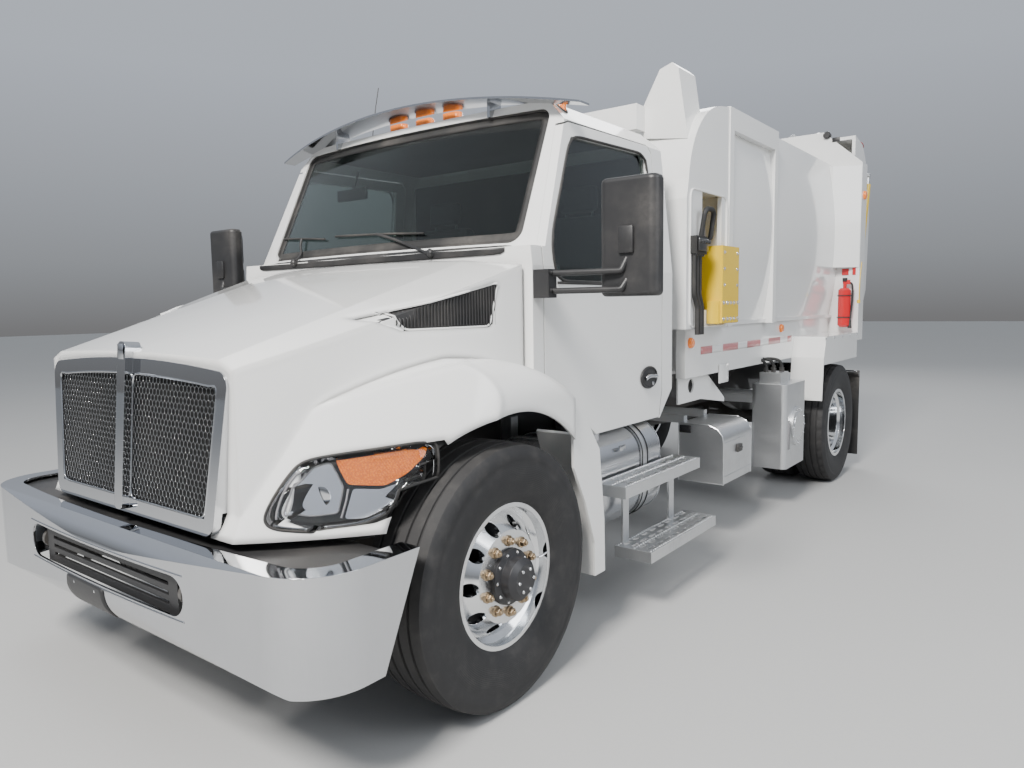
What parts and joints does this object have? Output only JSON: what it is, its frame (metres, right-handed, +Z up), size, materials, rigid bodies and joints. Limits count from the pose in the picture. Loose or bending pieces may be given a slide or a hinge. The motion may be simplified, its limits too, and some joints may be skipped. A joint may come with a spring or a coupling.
{
  "type": "side-loading garbage truck",
  "caption": "Side-loading garbage truck: hooded cab, single rear axle with twin wheels, tipping body with open hopper, packer blade, lifting tailgate and a telescoping gripper arm.",
  "frame": {"origin": "on the ground under the middle of the truck's overall length and width", "axes": "+X to the truck's left, +Y to its rear, +Z up"},
  "size_m": [3.14, 7.15, 3.2038],
  "materials": {
    "white_paint": "glossy white paint",
    "black_paint": "satin black paint",
    "grey_engine": "grey engine paint",
    "yellow_paint": "glossy yellow paint",
    "chrome": "polished chrome",
    "aluminium": "bare aluminium",
    "polished_aluminium": "polished aluminium",
    "tyre": "matt black rubber",
    "black_plastic": "moulded black",
    "grey_plastic": "moulded grey",
    "black_rubber": "matt black rubber",
    "glass": "tinted clear glass",
    "lamp_glass": "clear lens",
    "amber_lens": "amber lens",
    "red_lens": "red lens",
    "red_paint": "glossy red paint",
    "steel_rod": "hard chromed rod",
    "seat_fabric": "dark woven cloth"
  },
  "bodies": {
    "truck": {"chassis_frame": "black_paint", "engine_block": "grey_engine", "radiator": "aluminium", "front_axle": "black_paint", "leaf_springs": "black_paint", "rear_axle": "black_paint", "bumper": "chrome", "bumper_slats": "black_plastic", "front_brackets": "black_paint", "cab_shell": "white_paint", "cab_glass": "glass", "seats": "seat_fabric", "dashboard": "grey_plastic", "sun_visor": "chrome", "roof_lamps": "amber_lens", "mirrors": "black_plastic", "grab_rails": "steel_rod", "fender_extensions": "white_paint", "fuel_tanks": "polished_aluminium", "steps": "aluminium", "tool_box": "aluminium", "hydraulic_tank": "aluminium", "mudflaps": "black_rubber", "rear_lamps": "red_lens"},
    "steering_left": {"steering_knuckle_left": "black_paint"},
    "steering_right": {"steering_knuckle_right": "black_paint"},
    "tie_rod": {"tie_rod": "black_paint"},
    "front_left_wheel": {"front_tyre_left": "tyre", "front_wheel_left": "polished_aluminium"},
    "front_right_wheel": {"front_tyre_right": "tyre", "front_wheel_right": "polished_aluminium"},
    "rear_left_wheels": {"rear_tyres_left": "tyre", "rear_wheels_left": "polished_aluminium"},
    "rear_right_wheels": {"rear_tyres_right": "tyre", "rear_wheels_right": "polished_aluminium"},
    "hood": {"hood": "white_paint", "grille_surround": "chrome", "grille_mesh": "black_plastic", "headlamps": "lamp_glass", "hood_vents": "black_plastic"},
    "door_left": {"door_left": "white_paint", "door_glass_left": "glass"},
    "door_right": {"door_right": "white_paint", "door_glass_right": "glass"},
    "tipping_body": {"body_shell": "white_paint", "rear_ring": "white_paint", "arm_housing": "yellow_paint", "rear_fenders": "white_paint", "fire_extinguisher": "red_paint", "hoses": "black_rubber"},
    "hoist_barrels": {"hoist_barrels": "black_paint"},
    "hoist_rods": {"hoist_rods": "steel_rod"},
    "tailgate": {"tailgate": "white_paint"},
    "gate_barrels": {"gate_barrels": "yellow_paint"},
    "gate_rods": {"gate_rods": "steel_rod"},
    "packer_blade": {"packer_blade": "white_paint"},
    "arm_slide": {"arm_slide": "yellow_paint"},
    "lift_arm": {"lift_arm": "yellow_paint"},
    "finger_front": {"finger_front": "yellow_paint"},
    "finger_rear": {"finger_rear": "yellow_paint"}
  },
  "joints": [
    {"name": "steer_left", "type": "hinge", "parent": "truck", "child": "steering_left", "pos_m": [0.87, -2.525, 0.53], "axis": [0, 0, 1], "range_deg": [-35, 35]},
    {"name": "steer_right", "type": "hinge", "parent": "truck", "child": "steering_right", "pos_m": [-0.87, -2.525, 0.53], "axis": [0, 0, 1], "range_deg": [-35, 35]},
    {"name": "tie_rod_shift", "type": "slide", "parent": "truck", "child": "tie_rod", "axis": [1, 0, 0], "range_m": [-0.117, 0.117]},
    {"name": "front_left_roll", "type": "hinge", "parent": "steering_left", "child": "front_left_wheel", "pos_m": [1.034, -2.525, 0.53], "axis": [1, 0, 0], "continuous": true},
    {"name": "front_right_roll", "type": "hinge", "parent": "steering_right", "child": "front_right_wheel", "pos_m": [-1.034, -2.525, 0.53], "axis": [1, 0, 0], "continuous": true},
    {"name": "rear_left_roll", "type": "hinge", "parent": "truck", "child": "rear_left_wheels", "pos_m": [0.911, 2.205, 0.52], "axis": [1, 0, 0], "continuous": true},
    {"name": "rear_right_roll", "type": "hinge", "parent": "truck", "child": "rear_right_wheels", "pos_m": [-0.911, 2.205, 0.52], "axis": [1, 0, 0], "continuous": true},
    {"name": "hood_tilt", "type": "hinge", "parent": "truck", "child": "hood", "pos_m": [0, -3.397, 0.872], "axis": [1, 0, 0], "range_deg": [0, 75]},
    {"name": "door_left_swing", "type": "hinge", "parent": "truck", "child": "door_left", "pos_m": [1.035, -2.101, 1.3], "axis": [0, 0, -1], "range_deg": [0, 65]},
    {"name": "door_right_swing", "type": "hinge", "parent": "truck", "child": "door_right", "pos_m": [-1.035, -2.101, 1.3], "axis": [0, 0, 1], "range_deg": [0, 65]},
    {"name": "body_tip", "type": "hinge", "parent": "truck", "child": "tipping_body", "pos_m": [0, 2.855, 1.086], "axis": [-1, 0, 0], "range_deg": [0, 40]},
    {"name": "hoist_swing", "type": "hinge", "parent": "truck", "child": "hoist_barrels", "pos_m": [0, 0.655, 0.7], "axis": [1, 0, 0], "range_deg": [0, 22.2]},
    {"name": "hoist_stroke", "type": "slide", "parent": "hoist_barrels", "child": "hoist_rods", "axis": [0, 0.9302, 0.3672], "range_m": [0, 0.688]},
    {"name": "tailgate_lift", "type": "hinge", "parent": "tipping_body", "child": "tailgate", "pos_m": [0, 2.957, 3.172], "axis": [1, 0, 0], "range_deg": [0, 80]},
    {"name": "gate_cylinder_swing", "type": "hinge", "parent": "tipping_body", "child": "gate_barrels", "pos_m": [0, 2.985, 1.95], "axis": [1, 0, 0], "range_deg": [0, 0.5]},
    {"name": "gate_cylinder_stroke", "type": "slide", "parent": "gate_barrels", "child": "gate_rods", "axis": [0, 0.2747, 0.9615], "range_m": [0, 0.6]},
    {"name": "packer_stroke", "type": "slide", "parent": "tipping_body", "child": "packer_blade", "axis": [0, 1, 0], "range_m": [0, 1]},
    {"name": "arm_reach", "type": "slide", "parent": "tipping_body", "child": "arm_slide", "axis": [-1, 0, 0], "range_m": [0, 1.3]},
    {"name": "arm_lift", "type": "hinge", "parent": "arm_slide", "child": "lift_arm", "pos_m": [-1.13, -0.16, 1.85], "axis": [0, 1, 0], "range_deg": [0, 165]},
    {"name": "finger_front_grip", "type": "hinge", "parent": "lift_arm", "child": "finger_front", "pos_m": [-1.205, -0.45, 0.765], "axis": [0, 0, -1], "range_deg": [0, 85]},
    {"name": "finger_rear_grip", "type": "hinge", "parent": "lift_arm", "child": "finger_rear", "pos_m": [-1.205, 0.13, 0.765], "axis": [0, 0, 1], "range_deg": [0, 85]}
  ],
  "couplings": [
    {"joint": "steer_right", "follows": "steer_left", "ratio": 1},
    {"joint": "tie_rod_shift", "follows": "steer_left", "m_per_rad": -0.19},
    {"joint": "hoist_swing", "follows": "body_tip", "ratio": 0.55428},
    {"joint": "hoist_stroke", "follows": "body_tip", "m_per_rad": 0.98516},
    {"joint": "gate_cylinder_swing", "follows": "tailgate_lift", "ratio": 0.005078},
    {"joint": "gate_cylinder_stroke", "follows": "tailgate_lift", "m_per_rad": 0.4296},
    {"joint": "finger_rear_grip", "follows": "finger_front_grip", "ratio": 1}
  ]
}
